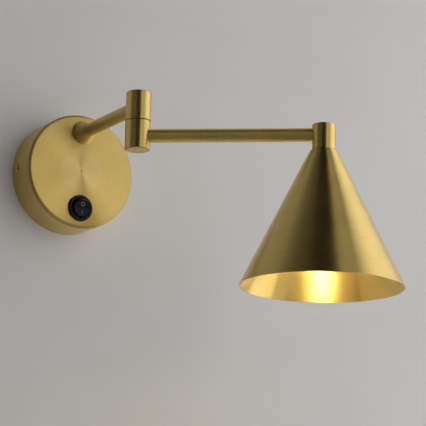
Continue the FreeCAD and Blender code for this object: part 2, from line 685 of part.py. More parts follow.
def arm_washer():
    """The lock washer behind the canopy's front."""
    return ring(WASHER_RADIUS, STUD_RADIUS + FIT, from_wall(0, PANEL_BACK, ARM_ABOVE_CENTRE),
                TO_WALL, WASHER_THICKNESS)


def arm_nut():
    """The nut on the hollow stud."""
    seat = from_wall(0, PANEL_BACK - WASHER_THICKNESS, ARM_ABOVE_CENTRE)
    return hexagon_nut(NUT_ACROSS_FLATS, STUD_RADIUS + FIT, seat, TO_WALL, NUT_HEIGHT)


def inner_arm_tube():
    """The short tube straight out of the wall."""
    return ring(TUBE_RADIUS, TUBE_BORE, from_wall(0, PANEL, ARM_ABOVE_CENTRE), OUT,
                INNER_ARM_REACH - TUBE_END_FROM_AXIS)


# ---------------------------------------------------------------- elbow
def knuckle(web_face, open_end, tube_z, tube_direction):
    """A barrel with a web at the seam, open at the far end, cross-bored for its tube."""
    way = 1 if open_end > web_face else -1
    direction = UP * way
    barrel = turned([(PIVOT_RADIUS + RUNNING_FIT, 0, 0), (KNUCKLE_RADIUS, 0, KNUCKLE_SEAM_ROUNDING),
                     (KNUCKLE_RADIUS, KNUCKLE_HEIGHT, KNUCKLE_EDGE_ROUNDING),
                     (KNUCKLE_BORE_RADIUS, KNUCKLE_HEIGHT, 0),
                     (KNUCKLE_BORE_RADIUS, KNUCKLE_WEB, 0),
                     (PIVOT_RADIUS + RUNNING_FIT, KNUCKLE_WEB, 0)],
                    at(ELBOW, web_face), direction)
    return barrel.cut(rod(TUBE_RADIUS + FIT, at(ELBOW, tube_z), tube_direction, KNUCKLE_RADIUS))


def upper_knuckle():
    """The barrel on the end of the inner arm."""
    return knuckle(UPPER_BOTTOM, UPPER_TOP, ARM_ABOVE_CENTRE, TO_WALL)


def lower_knuckle():
    """The barrel that carries the outer arm."""
    return knuckle(LOWER_TOP, LOWER_BOTTOM, LOWER_ARM_Z, ALONG_OUTER_ARM)


def screwed_cap(outer_face, direction):
    """A disc screwed into a barrel's open end, flush with it; direction points out of the barrel."""
    return turned([(0, -CAP_THICKNESS, 0), (KNUCKLE_BORE_RADIUS - FIT, -CAP_THICKNESS, 0),
                   (KNUCKLE_BORE_RADIUS - FIT, 0, CAP_EDGE_ROUNDING), (0, 0, 0)],
                  at(ELBOW, outer_face), direction)


def upper_cap():
    """The cap on top of the elbow."""
    return screwed_cap(UPPER_TOP, UP)


def lower_cap():
    """The cap under the elbow."""
    return screwed_cap(LOWER_BOTTOM, DOWN)


def pivot_sleeve():
    """The hollow pivot bolt: its head rests on the upper web, the lower barrel turns on it."""
    head_top = UPPER_BOTTOM + KNUCKLE_WEB + PIVOT_HEAD_HEIGHT
    head_seat = UPPER_BOTTOM + KNUCKLE_WEB
    return turned([(PIVOT_BORE_RADIUS, PIVOT_END, 0), (PIVOT_RADIUS, PIVOT_END, PIVOT_EDGE_ROUNDING),
                   (PIVOT_RADIUS, head_seat, 0), (PIVOT_HEAD_RADIUS, head_seat, 0),
                   (PIVOT_HEAD_RADIUS, head_top, PIVOT_EDGE_ROUNDING),
                   (PIVOT_BORE_RADIUS, head_top, PIVOT_MOUTH_ROUNDING)],
                  ELBOW, UP)


def friction_washer():
    """The plastic washer in the seam."""
    return ring(FRICTION_WASHER_RADIUS, PIVOT_RADIUS + FIT, at(ELBOW, UPPER_BOTTOM), DOWN,
                KNUCKLE_SEAM - AXIAL_PLAY)


def wave_washer():
    """The spring washer that keeps the elbow stiff."""
    return ring(WAVE_WASHER_RADIUS, PIVOT_RADIUS + FIT, at(ELBOW, WAVE_TOP), DOWN,
                WAVE_WASHER_THICKNESS)


def pivot_nut():
    """The thin nut under the spring washer."""
    return hexagon_nut(PIVOT_NUT_ACROSS_FLATS, PIVOT_RADIUS + FIT, at(ELBOW, PIVOT_NUT_TOP),
                       DOWN, PIVOT_NUT_HEIGHT)


# ---------------------------------------------------------------- outer arm and head
def outer_arm_tube():
    """The long tube from the lower barrel to the head."""
    start = at(ELBOW, LOWER_ARM_Z) + ALONG_OUTER_ARM * TUBE_END_FROM_AXIS
    return ring(TUBE_RADIUS, TUBE_BORE, start, ALONG_OUTER_ARM,
                OUTER_ARM_REACH - 2 * TUBE_END_FROM_AXIS)


def head_barrel():
    """The closed-top barrel at the arm's end, with a tapped web below."""
    inside_top = HEAD_HEIGHT - HEAD_TOP_WALL
    barrel = turned([(STUD_RADIUS + FIT, 0, 0), (HEAD_RADIUS, 0, HEAD_SEAM_ROUNDING),
                     (HEAD_RADIUS, HEAD_HEIGHT, HEAD_EDGE_ROUNDING), (0, HEAD_HEIGHT, 0),
                     (0, inside_top, 0), (HEAD_BORE_RADIUS, inside_top, HEAD_INNER_ROUNDING),
                     (HEAD_BORE_RADIUS, HEAD_WEB, 0), (STUD_RADIUS + FIT, HEAD_WEB, 0)],
                    at(HEAD, HEAD_BOTTOM), UP)
    return barrel.cut(rod(TUBE_RADIUS + FIT, at(HEAD, LOWER_ARM_Z), ALONG_OUTER_ARM * -1,
                          HEAD_RADIUS))


def head_stud():
    """The hollow threaded stud that hangs the shade and the lampholder from the head."""
    top = HEAD_BOTTOM + HEAD_WEB + HEAD_STUD_INSIDE
    return ring(STUD_RADIUS, STUD_BORE_RADIUS, at(HEAD, HEAD_STUD_END), UP, top - HEAD_STUD_END)


def shade():
    """The spun cone: a small flat top, a rounded shoulder and a straight flare."""
    slope = (SHADE_RIM_RADIUS - SHADE_TOP_RADIUS) / SHADE_HEIGHT
    across = SHADE_WALL * math.sqrt(1 + slope ** 2)
    hole = STUD_RADIUS + SCREW_CLEARANCE
    inner_corner = SHADE_TOP_RADIUS + SHADE_WALL * slope - across
    return turned([(hole, 0, 0), (hole, SHADE_WALL, 0),
                   (inner_corner, SHADE_WALL, SHADE_SHOULDER - SHADE_WALL),
                   (SHADE_RIM_RADIUS - across, SHADE_HEIGHT, SHADE_RIM_ROUNDING),
                   (SHADE_RIM_RADIUS, SHADE_HEIGHT, SHADE_RIM_ROUNDING),
                   (SHADE_TOP_RADIUS, 0, SHADE_SHOULDER)],
                  at(HEAD, SHADE_TOP), DOWN)


# ---------------------------------------------------------------- lampholder and lamp
def across_head(shape):
    """A piece modelled about the upright axis at the origin, moved to the head."""
    moved = shape.copy()
    moved.translate(HEAD)
    return moved


def lamp_stirrup():
    """The folded steel strap that carries the lampholder."""
    half = STIRRUP_HALF_SPAN
    thick = STIRRUP_THICKNESS
    bottom = STIRRUP_TOP - STIRRUP_LEG
    fold = outline([(-half, STIRRUP_TOP, thick), (half, STIRRUP_TOP, thick), (half, bottom, 0),
                    (half - thick, bottom, 0), (half - thick, STIRRUP_TOP - thick, STIRRUP_INNER_BEND),
                    (-half + thick, STIRRUP_TOP - thick, STIRRUP_INNER_BEND),
                    (-half + thick, bottom, 0),
                    (-half, bottom, 0)])
    strap = Part.Face(fold).extrude(FreeCAD.Vector(0, STIRRUP_WIDTH, 0))
    strap.translate(FreeCAD.Vector(0, -STIRRUP_WIDTH / 2, 0))
    strap = strap.fuse(rod(STIRRUP_EYE_RADIUS, UP * STIRRUP_TOP, DOWN, thick)).removeSplitter()
    strap = strap.cut(rod(STUD_RADIUS + FIT, UP * (STIRRUP_TOP - 2 * thick), UP, 3 * thick))
    rivet = FreeCAD.Vector(-2 * half, 0, RIVET_Z)
    return across_head(strap.cut(rod(HOLDER_RIVET_RADIUS + FIT, rivet, RIGHT, 4 * half)))


def head_nut():
    """The nut that clamps the shade and the stirrup up against the head."""
    return hexagon_nut(NUT_ACROSS_FLATS, STUD_RADIUS + FIT, at(HEAD, HEAD_NUT_TOP), DOWN,
                       NUT_HEIGHT)


def holder_rivets():
    """The two rivets from the stirrup's legs into the ceramic."""
    rivets = []
    for side in (-1, 1):
        face = side * (STIRRUP_HALF_SPAN + FIT)
        depth = STIRRUP_THICKNESS + HOLDER_RIVET_LENGTH
        rivet = turned([(0, HOLDER_RIVET_HEAD, 0),
                        (HOLDER_RIVET_HEAD_RADIUS, HOLDER_RIVET_HEAD, HOLDER_RIVET_ROUNDING),
                        (HOLDER_RIVET_HEAD_RADIUS, 0, 0), (HOLDER_RIVET_RADIUS, 0, 0),
                        (HOLDER_RIVET_RADIUS, -depth, 0), (0, -depth, 0)],
                       FreeCAD.Vector(face, 0, RIVET_Z), RIGHT * side)
        rivets.append(across_head(rivet))
    return one_of(rivets)


def pin_wells(radius, depth):
    """Two round wells over the pins, from the bottom of the socket upwards."""
    start = HOLDER_BOTTOM + SOCKET_DEPTH
    return [rod(radius, FreeCAD.Vector(side * PIN_SPACING / 2, 0, start), UP, depth)
            for side in (-1, 1)]


def lampholder():
    """The ceramic body with its collar, oblong socket, pin wells and flex hole."""
    collar = HOLDER_COLLAR_LENGTH
    edge = HOLDER_EDGE_ROUNDING
    body = turned([(0, 0, 0), (HOLDER_COLLAR_RADIUS, 0, edge), (HOLDER_COLLAR_RADIUS, collar, edge),
                   (HOLDER_RADIUS, collar, 0), (HOLDER_RADIUS, HOLDER_LENGTH, edge),
                   (0, HOLDER_LENGTH, 0)], UP * HOLDER_BOTTOM, UP)
    socket = block(UP * (HOLDER_BOTTOM + SOCKET_DEPTH / 2), SOCKET_WIDTH, SOCKET_THICKNESS,
                   SOCKET_DEPTH)
    body = body.cut(socket)
    body = body.cut(pin_wells(PIN_HOLE_RADIUS, PIN_HOLE_DEPTH))
    flex_hole = rod(FLEX_RADIUS + FIT, UP * (HOLDER_BOTTOM + SOCKET_DEPTH + PIN_HOLE_DEPTH), UP,
                    HOLDER_LENGTH)
    reach = STIRRUP_HALF_SPAN - STIRRUP_THICKNESS - HOLDER_RIVET_LENGTH - FIT
    for side in (-1, 1):
        rivet = FreeCAD.Vector(side * reach, 0, RIVET_Z)
        body = body.cut(rod(HOLDER_RIVET_RADIUS + FIT, rivet, RIGHT * side, HOLDER_RADIUS))
    return across_head(body.cut(flex_hole))


def holder_contacts():
    """A sprung metal sleeve in each pin well."""
    start = HOLDER_BOTTOM + SOCKET_DEPTH
    outer = PIN_HOLE_RADIUS - FIT
    contacts = []
    for side in (-1, 1):
        base = FreeCAD.Vector(side * PIN_SPACING / 2, 0, start)
        contacts.append(across_head(ring(outer, outer - CONTACT_WALL, base, UP, PIN_HOLE_DEPTH)))
    return one_of(contacts)


def lamp_base():
    """The lamp's ceramic foot: a flat tongue in the socket on a round body."""
    top = HOLDER_BOTTOM - SMALL_GAP
    foot = turned([(0, 0, 0), (LAMP_BASE_RADIUS, 0, LAMP_BASE_TOP_ROUNDING),
                   (LAMP_BASE_RADIUS, LAMP_BASE_LENGTH, LAMP_BASE_FOOT_ROUNDING),
                   (0, LAMP_BASE_LENGTH, 0)], UP * top, DOWN)
    height = SMALL_GAP + SOCKET_DEPTH - TONGUE_CLEARANCE
    tongue = block(UP * (top + height / 2), SOCKET_WIDTH - 2 * TONGUE_CLEARANCE,
                   SOCKET_THICKNESS - 2 * TONGUE_CLEARANCE, height)
    seat = rod(LAMP_CORE_RADIUS + FIT, UP * LAMP_COVER_TOP, UP, LAMP_CORE_SEAT)
    return across_head(foot.fuse(tongue).cut(seat).removeSplitter())


def lamp_pins():
    """The lamp's two pins."""
    start = HOLDER_BOTTOM + SOCKET_DEPTH - TONGUE_CLEARANCE
    pins = []
    for side in (-1, 1):
        base = FreeCAD.Vector(side * PIN_SPACING / 2, 0, start)
        pins.append(across_head(rod(PIN_RADIUS, base, UP, PIN_LENGTH)))
    return one_of(pins)


def lamp_core():
    """The upright light column inside the lamp's cover."""
    base = UP * (LAMP_COVER_TOP + LAMP_CORE_SEAT)
    return across_head(rod(LAMP_CORE_RADIUS, base, DOWN, LAMP_CORE_LENGTH))


def lamp_cover():
    """The lamp's domed cover."""
    outer = LAMP_COVER_RADIUS
    inner = outer - LAMP_COVER_WALL
    end = LAMP_COVER_LENGTH
    shell = turned([(inner, 0, 0), (outer, 0, 0), (outer, end, outer * LAMP_DOME_SHARE), (0, end, 0),
                    (0, end - LAMP_COVER_WALL, 0), (inner, end - LAMP_COVER_WALL, inner * LAMP_DOME_SHARE)],
                   UP * LAMP_COVER_TOP, DOWN)
    return across_head(shell)


# ---------------------------------------------------------------- wiring
def flex_split():
    """The height on the elbow's axis where the two lengths of flex meet."""
    return (UPPER_BOTTOM + LOWER_TOP) / 2


def inner_flex():
    """The flex from the terminal block through the inner arm to the pivot."""
    wire = BRACKET_THICKNESS + BLOCK_WIRE_HEIGHT
    first = block_ways()[0]
    top = BLOCK_LENGTH / 2 + SMALL_GAP
    points = [from_wall(first, wire, top),
              from_wall(first, wire, top + FLEX_OUT_OF_BLOCK),
              from_wall(0, wire + FLEX_TOWARDS_FRONT, ARM_ABOVE_CENTRE),
              from_wall(0, ELBOW_REACH, ARM_ABOVE_CENTRE),
              at(ELBOW, flex_split() + FLEX_SPLIT_GAP / 2)]
    return flexible(points, FLEX_RADIUS, FLEX_BEND)


def outer_flex():
    """The flex from the pivot through the outer arm and the head to the lampholder."""
    points = [at(ELBOW, flex_split() - FLEX_SPLIT_GAP / 2), at(ELBOW, LOWER_ARM_Z),
              at(HEAD, LOWER_ARM_Z), at(HEAD, HOLDER_TOP - SMALL_GAP)]
    return flexible(points, FLEX_RADIUS, FLEX_BEND)


def switch_leads():
    """The two single wires from the terminal block to the switch's blades."""
    wire = BRACKET_THICKNESS + BLOCK_WIRE_HEIGHT
    blade_end = -(SWITCH_BARREL_DEPTH + BLADE_OUTSIDE) - SMALL_GAP
    leads = []
    for way, blade_z in ((0, BUTTON_FROM_MIDDLE), (1, 0)):
        x = block_ways()[way]
        points = [from_wall(x, wire, -BLOCK_LENGTH / 2 - SMALL_GAP),
                  from_wall(x, wire, -BLOCK_LENGTH / 2 - LEAD_OUT_OF_BLOCK),
                  switch_place(blade_end - LEAD_BEHIND_BLADE, 0, blade_z),
                  switch_place(blade_end, 0, blade_z)]
        leads.append(flexible(points, CORE_RADIUS, CORE_BEND))
    return one_of(leads)


# ---------------------------------------------------------------- the files
PIECES = {
    "wall_bracket": wall_bracket,
    "cable_grommet": cable_grommet,
    "earth_screw": earth_screw,
    "cover_screws": cover_screws,
    "canopy_cover": canopy_cover,
    "terminal_block": terminal_block,
    "terminal_sleeves": terminal_sleeves,
    "terminal_screws": terminal_screws,
    "switch_housing": switch_housing,
    "switch_terminals": switch_terminals,
    "switch_rocker": switch_rocker,
    "switch_plunger": switch_plunger,
    "switch_spring": switch_spring,
    "switch_seesaw": switch_seesaw,
    "arm_flange": arm_flange,
    "arm_stud": arm_stud,
    "arm_washer": arm_washer,
    "arm_nut": arm_nut,
    "inner_arm_tube": inner_arm_tube,
    "upper_knuckle": upper_knuckle,
    "upper_cap": upper_cap,
    "pivot_sleeve": pivot_sleeve,
    "friction_washer": friction_washer,
    "lower_knuckle": lower_knuckle,
    "lower_cap": lower_cap,
    "wave_washer": wave_washer,
    "pivot_nut": pivot_nut,
    "outer_arm_tube": outer_arm_tube,
    "head_barrel": head_barrel,
    "head_stud": head_stud,
    "head_nut": head_nut,
    "shade": shade,
    "lamp_stirrup": lamp_stirrup,
    "holder_rivets": holder_rivets,
    "lampholder": lampholder,
    "holder_contacts": holder_contacts,
    "lamp_base": lamp_base,
    "lamp_pins": lamp_pins,
    "lamp_core": lamp_core,
    "lamp_cover": lamp_cover,
    "inner_flex": inner_flex,
    "outer_flex": outer_flex,
    "switch_leads": switch_leads,
}

os.makedirs("parts", exist_ok=True)
for name, build in PIECES.items():
    piece = build()
    piece.exportStep("parts/%s.step" % name)
    print("%-18s solids %d valid %s volume %.1f"
          % (name, len(piece.Solids), piece.isValid(), piece.Volume))
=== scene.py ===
import json
import math

import bmesh
import bpy
from mathutils import Matrix, Vector


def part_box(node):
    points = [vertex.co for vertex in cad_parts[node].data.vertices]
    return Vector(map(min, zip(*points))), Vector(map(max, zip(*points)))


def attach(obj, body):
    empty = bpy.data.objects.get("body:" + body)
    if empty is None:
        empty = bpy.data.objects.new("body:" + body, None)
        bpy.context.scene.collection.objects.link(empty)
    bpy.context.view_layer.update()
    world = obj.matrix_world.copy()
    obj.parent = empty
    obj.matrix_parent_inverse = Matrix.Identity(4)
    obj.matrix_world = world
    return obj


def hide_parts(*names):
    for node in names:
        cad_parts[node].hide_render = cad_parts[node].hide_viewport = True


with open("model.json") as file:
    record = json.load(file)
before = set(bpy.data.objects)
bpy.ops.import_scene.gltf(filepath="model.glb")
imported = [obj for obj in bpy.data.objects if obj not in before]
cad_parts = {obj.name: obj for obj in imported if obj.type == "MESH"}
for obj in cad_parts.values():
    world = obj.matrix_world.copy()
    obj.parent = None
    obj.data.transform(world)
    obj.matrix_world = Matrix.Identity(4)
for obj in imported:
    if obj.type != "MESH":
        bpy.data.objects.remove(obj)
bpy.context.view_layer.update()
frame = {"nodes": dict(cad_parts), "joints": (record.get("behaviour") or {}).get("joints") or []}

node = frame["nodes"]


# ------------------------------------------------------------------ bracket and its screws
# Folded strip of bright zinc-plated steel, 1.5 mm thick, slotted for two wall screws.
# Its ears carry the screws that hold the canopy, and one small screw takes the earth wire.
def new_material(name, **sockets):
    """A Principled material with constant sockets; returns the material, tree and shader."""
    material = bpy.data.materials.new(name)
    material.use_nodes = True
    tree = material.node_tree
    shader = tree.nodes["Principled BSDF"]
    for socket, value in sockets.items():
        shader.inputs[socket.replace("_", " ")].default_value = value
    return material, tree, shader


def add(tree, kind, links=None, **settings):
    """A node with its settings, and its inputs as values or as other nodes' outputs."""
    made = tree.nodes.new(kind)
    for key, value in settings.items():
        setattr(made, key, value)
    for socket, value in (links or {}).items():
        if isinstance(value, bpy.types.NodeSocket):
            tree.links.new(value, made.inputs[socket])
        else:
            made.inputs[socket].default_value = value
    return made


def maths(tree, operation, first, second=0.0, third=0.0):
    """One scalar sum; returns its output."""
    made = add(tree, "ShaderNodeMath", {0: first, 1: second, 2: third}, operation=operation)
    return made.outputs[0]


def ramp(tree, value, low, high, out_low=0.0, out_high=1.0):
    """The value stretched from low..high to out_low..out_high, with soft ends."""
    made = add(tree, "ShaderNodeMapRange", {"Value": value, "From Min": low, "From Max": high,
                                           "To Min": out_low, "To Max": out_high},
               interpolation_type="SMOOTHSTEP")
    return made.outputs["Result"]


def blend_colour(tree, share, first, second):
    """Two colours mixed by share."""
    made = add(tree, "ShaderNodeMix", {"Factor": share, 6: first, 7: second}, data_type="RGBA")
    return made.outputs[2]


def bump(tree, shader, height, depth):
    """Relief from a height, depth in metres."""
    made = add(tree, "ShaderNodeBump", {"Height": height, "Distance": depth})
    tree.links.new(made.outputs["Normal"], shader.inputs["Normal"])


def mottle_group():
    """Cloudy tone and fine grit that plated, moulded and fired surfaces share."""
    tree = bpy.data.node_groups.new("mottle", "ShaderNodeTree")
    sockets = tree.interface
    sockets.new_socket("Place", in_out="INPUT", socket_type="NodeSocketVector")
    sockets.new_socket("Cloud size", in_out="INPUT", socket_type="NodeSocketFloat")
    sockets.new_socket("Grit size", in_out="INPUT", socket_type="NodeSocketFloat")
    sockets.new_socket("Cloud", in_out="OUTPUT", socket_type="NodeSocketFloat")
    sockets.new_socket("Grit", in_out="OUTPUT", socket_type="NodeSocketFloat")
    start = tree.nodes.new("NodeGroupInput")
    end = tree.nodes.new("NodeGroupOutput")
    crispness = 0.6
    faintest = 0.3
    boldest = 0.7
    for name, detail in (("Cloud", 3.0), ("Grit", 2.0)):
        scale = maths(tree, "DIVIDE", 1.0, start.outputs[name + " size"])
        noise = add(tree, "ShaderNodeTexNoise", {"Vector": start.outputs["Place"],
                                                "Scale": scale, "Detail": detail,
                                                "Roughness": crispness})
        tree.links.new(ramp(tree, noise.outputs["Fac"], faintest, boldest), end.inputs[name])
    return tree


mottle = mottle_group()


def mottled(tree, cloud_size, grit_size):
    """The cloud and grit values at the surface, sizes in metres."""
    place = add(tree, "ShaderNodeTexCoord").outputs["Object"]
    made = add(tree, "ShaderNodeGroup", node_tree=mottle)
    tree.links.new(place, made.inputs["Place"])
    made.inputs["Cloud size"].default_value = cloud_size
    made.inputs["Grit size"].default_value = grit_size
    return made.outputs["Cloud"], made.outputs["Grit"]


def plain_material(name, dark, light, cloud_size, grit_size, rough, rough_spread, grit_depth,
                   **sockets):
    """A mottled, gritty finish between two tones, sizes and depth in metres."""
    material, tree, shader = new_material(name, **sockets)
    cloud, grit = mottled(tree, cloud_size, grit_size)
    tone = blend_colour(tree, cloud, (*dark, 1), (*light, 1))
    tree.links.new(tone, shader.inputs["Base Color"])
    rougher = maths(tree, "MULTIPLY_ADD", grit, rough_spread, rough)
    tree.links.new(rougher, shader.inputs["Roughness"])
    bump(tree, shader, grit, grit_depth)
    return material


def dress(material, *names):
    """Gives the CAD nodes of these names their material."""
    for name in names:
        node[name].data.materials[0] = material


zinc = plain_material("bright_zinc", dark=(0.50, 0.51, 0.52), light=(0.66, 0.67, 0.66),
                      cloud_size=0.006, grit_size=0.0004, rough=0.28, rough_spread=0.16,
                      grit_depth=0.00001, Metallic=1.0)
dress(zinc, "wall_bracket", "earth_screw")


# ------------------------------------------------------------------ canopy
# Cup spun from 1 mm brass sheet, 100 mm across and 33 mm deep, its front turned with fine
# rings, satin brushed and lacquered, with shade painted along its front edge and in the small
# dimple at its centre; two small screws hold it at its sides.
def vectors(tree, operation, first, second=None):
    """One vector sum, its second part a number for SCALE; returns its outputs."""
    parts = {0: first}
    if second is not None:
        parts["Scale" if operation == "SCALE" else 1] = second
    return add(tree, "ShaderNodeVectorMath", parts, operation=operation).outputs


def along_and_out(tree, place, centre, axis):
    """How far a place is along an axis and out from it, in metres, and which way out it is."""
    offset = vectors(tree, "SUBTRACT", place, centre)["Vector"]
    along = vectors(tree, "DOT_PRODUCT", offset, axis)["Value"]
    lengthwise = vectors(tree, "SCALE", axis, along)["Vector"]
    outward = vectors(tree, "SUBTRACT", offset, lengthwise)["Vector"]
    radius = vectors(tree, "LENGTH", outward)["Value"]
    return along, radius, outward


def spun_grain_group():
    """Rings and streaks round an axis: fine grain, broader streaks and slow patches."""
    tree = bpy.data.node_groups.new("spun_grain", "ShaderNodeTree")
    sockets = tree.interface
    for name in ("Place", "Centre", "Axis"):
        sockets.new_socket(name, in_out="INPUT", socket_type="NodeSocketVector")
    for name in ("Ring width", "Streaks a turn"):
        sockets.new_socket(name, in_out="INPUT", socket_type="NodeSocketFloat")
    for name in ("Grain", "Streak", "Patch"):
        sockets.new_socket(name, in_out="OUTPUT", socket_type="NodeSocketFloat")
    start = tree.nodes.new("NodeGroupInput")
    end = tree.nodes.new("NodeGroupOutput")
    place = start.outputs["Place"]
    axis = start.outputs["Axis"]
    along, radius, outward = along_and_out(tree, place, start.outputs["Centre"], axis)
    spoke = vectors(tree, "NORMALIZE", outward)["Vector"]
    across = maths(tree, "SUBTRACT", along, radius)
    ring_crispness = 0.65
    ring_faintest = 0.28
    ring_boldest = 0.72
    for name, wider, detail in (("Grain", 1.0, 2.0), ("Streak", 4.0, 3.0)):
        rings = maths(tree, "DIVIDE", across, start.outputs["Ring width"])
        rings = maths(tree, "DIVIDE", rings, wider)
        turns = maths(tree, "DIVIDE", start.outputs["Streaks a turn"], wider)
        cross = vectors(tree, "SCALE", axis, rings)["Vector"]
        roundabout = vectors(tree, "SCALE", spoke, turns)["Vector"]
        point = vectors(tree, "ADD", cross, roundabout)["Vector"]
        noise = add(tree, "ShaderNodeTexNoise", {"Vector": point, "Scale": 1.0,
                                                "Detail": detail,
                                                "Roughness": ring_crispness})
        tree.links.new(ramp(tree, noise.outputs["Fac"], ring_faintest, ring_boldest),
                       end.inputs[name])
    patches_a_metre = 45.0
    patch_crispness = 0.55
    patch_faintest = 0.3
    patch_boldest = 0.7
    patch = add(tree, "ShaderNodeTexNoise", {"Vector": place, "Scale": patches_a_metre,
                                            "Detail": 3.0, "Roughness": patch_crispness})
    tree.links.new(ramp(tree, patch.outputs["Fac"], patch_faintest, patch_boldest),
                   end.inputs["Patch"])
    return tree


spun_grain = spun_grain_group()
AGED = (0.56, 0.385, 0.090)
FRESH = (0.82, 0.61, 0.20)
MIDDLE_TONE = 0.44          # share of fresh brass where grain and streak are at their middle
GRAIN_TONE = 0.30
STREAK_TONE = 0.33
PATCH_TONE = 0.25
STREAK_ROUGHER = 0.07
PATCH_ROUGHER = 0.05
PLAIN_SMOOTHER = 0.05       # how much smoother than its given roughness the clear metal is
RING_WIDTH = 0.0003
GRAIN_DEPTH = 0.0000012
STREAK_HEIGHT = 0.5         # a streak's height as a share of the fine grain's


def satin_brass(name, centre, axis, streaks=3.0, rough=0.36, stretch=0.95, contrast=1.0):
    """Satin brass whose grain runs round an axis; returns the material, tree and shader."""
    material, tree, shader = new_material(name, Metallic=1.0, Anisotropic=stretch,
                                          Anisotropic_Rotation=0.25, Coat_Weight=0.5,
                                          Coat_Roughness=0.30)
    place = add(tree, "ShaderNodeTexCoord").outputs["Object"]
    grain = add(tree, "ShaderNodeGroup", node_tree=spun_grain)
    tree.links.new(place, grain.inputs["Place"])
    grain.inputs["Centre"].default_value = centre
    grain.inputs["Axis"].default_value = axis
    grain.inputs["Ring width"].default_value = RING_WIDTH
    grain.inputs["Streaks a turn"].default_value = streaks
    from_centre = vectors(tree, "SUBTRACT", place, centre)["Vector"]
    roundabout = vectors(tree, "CROSS_PRODUCT", axis, from_centre)["Vector"]
    turned = add(tree, "ShaderNodeVectorTransform", {0: roundabout}, vector_type="VECTOR",
                 convert_from="OBJECT", convert_to="WORLD").outputs[0]
    tree.links.new(turned, shader.inputs["Tangent"])
    fine, streak, patch = (grain.outputs[k] for k in ("Grain", "Streak", "Patch"))
    plain_tone = MIDDLE_TONE - (GRAIN_TONE + STREAK_TONE) / 2 * contrast
    tone = maths(tree, "MULTIPLY_ADD", fine, GRAIN_TONE * contrast, plain_tone)
    tone = maths(tree, "MULTIPLY_ADD", streak, STREAK_TONE * contrast, tone)
    tone = maths(tree, "MULTIPLY_ADD", patch, PATCH_TONE, tone)
    colour = blend_colour(tree, tone, (*AGED, 1), (*FRESH, 1))
    tree.links.new(colour, shader.inputs["Base Color"])
    rougher = maths(tree, "MULTIPLY_ADD", streak, STREAK_ROUGHER, rough - PLAIN_SMOOTHER)
    rougher = maths(tree, "MULTIPLY_ADD", patch, PATCH_ROUGHER, rougher)
    tree.links.new(rougher, shader.inputs["Roughness"])
    height = maths(tree, "MULTIPLY_ADD", streak, STREAK_HEIGHT, fine)
    bump(tree, shader, height, GRAIN_DEPTH)
    return material, tree, shader


def from_axis(tree, centre, axis):
    """How far the surface is along an axis and out from it, in metres."""
    place = add(tree, "ShaderNodeTexCoord").outputs["Object"]
    along, radius, _ = along_and_out(tree, place, centre, axis)
    return along, radius


def tint(tree, shader, share, colour):
    """Blends a colour over the base colour where share is above 0."""
    base = shader.inputs["Base Color"].links[0].from_socket
    tinted = blend_colour(tree, share, base, (*colour, 1))
    tree.links.new(tinted, shader.inputs["Base Color"])


EDGE_SHADE = (0.24, 0.15, 0.04)      # brown of the shade painted along turned edges and seams
EDGE_SHARE = 0.5


def paint_edge_shade(tree, shader, near_end, radius, side, start, full):
    """Darkens a turned edge with painted shade; start and full are how far in from the side."""
    near_side = ramp(tree, radius, side - start, side - full)
    share = maths(tree, "MULTIPLY", near_end, near_side)
    tint(tree, shader, maths(tree, "MULTIPLY", share, EDGE_SHARE), EDGE_SHADE)


WALL_POINT = (0.0, 0.0, 0.0)
OUT_OF_WALL = (0.0, -1.0, 0.0)
canopy_low, canopy_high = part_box("canopy_cover")
CANOPY_RADIUS = canopy_high.x
CANOPY_DEPTH = -canopy_low.y
INNER_FIELD = (0.82, 0.62, 0.36)    # the front's middle is a little redder
INNER_FIELD_SHARE = 0.20
INNER_FIELD_RADIUS = 0.0192
INNER_FIELD_FADE = 0.0012
DIMPLE_SHADE = (0.05, 0.03, 0.01)    # painted shade in the small centre dimple that the turning leaves
DIMPLE_SHARE = 0.8
DIMPLE_RADIUS = 0.0006
DIMPLE_FADE = 0.0003
FRONT_EDGE_START = 0.0045           # painted shade band, measured back from the front
FRONT_EDGE_FULL = 0.0012
RIM_EDGE_START = 0.0032             # the same band, measured in from the side
RIM_EDGE_FULL = 0.0006

canopy_brass, tree, shader = satin_brass("canopy_brass", WALL_POINT, OUT_OF_WALL, contrast=0.6)
forward, radius = from_axis(tree, WALL_POINT, OUT_OF_WALL)
inner_field = ramp(tree, radius, INNER_FIELD_RADIUS, INNER_FIELD_RADIUS + INNER_FIELD_FADE,
                   INNER_FIELD_SHARE, 0.0)
tint(tree, shader, inner_field, INNER_FIELD)
# A painted shade dot in the dimple at the centre of the turning.
dimple_shade = ramp(tree, radius, DIMPLE_RADIUS, DIMPLE_RADIUS + DIMPLE_FADE, DIMPLE_SHARE, 0.0)
tint(tree, shader, dimple_shade, DIMPLE_SHADE)
# Painted shade along the front's rounded edge.
near_front = ramp(tree, forward, CANOPY_DEPTH - FRONT_EDGE_START, CANOPY_DEPTH - FRONT_EDGE_FULL)
paint_edge_shade(tree, shader, near_front, radius, CANOPY_RADIUS, RIM_EDGE_START, RIM_EDGE_FULL)
dress(canopy_brass, "canopy_cover")

screw_low, screw_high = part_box("cover_screws")
SIDE_SCREW_LINE = (0.0, (screw_low.y + screw_high.y) / 2, 0.0)
screw_brass, _, _ = satin_brass("screw_brass", SIDE_SCREW_LINE, (1.0, 0.0, 0.0), streaks=2.0,
                                rough=0.22, stretch=0.3)
dress(screw_brass, "cover_screws")


# ------------------------------------------------------------------ terminal block and wiring
# Natural nylon block with brass sleeves and plated screws; black round flex runs from it
# through both arms, and two single wires go down to the switch. A rubber ring guards the hole.
white_nylon = plain_material("natural_nylon", dark=(0.74, 0.73, 0.68), light=(0.86, 0.85, 0.81),
                             cloud_size=0.004, grit_size=0.0003, rough=0.42, rough_spread=0.1,
                             grit_depth=0.00001)
dress(white_nylon, "terminal_block")

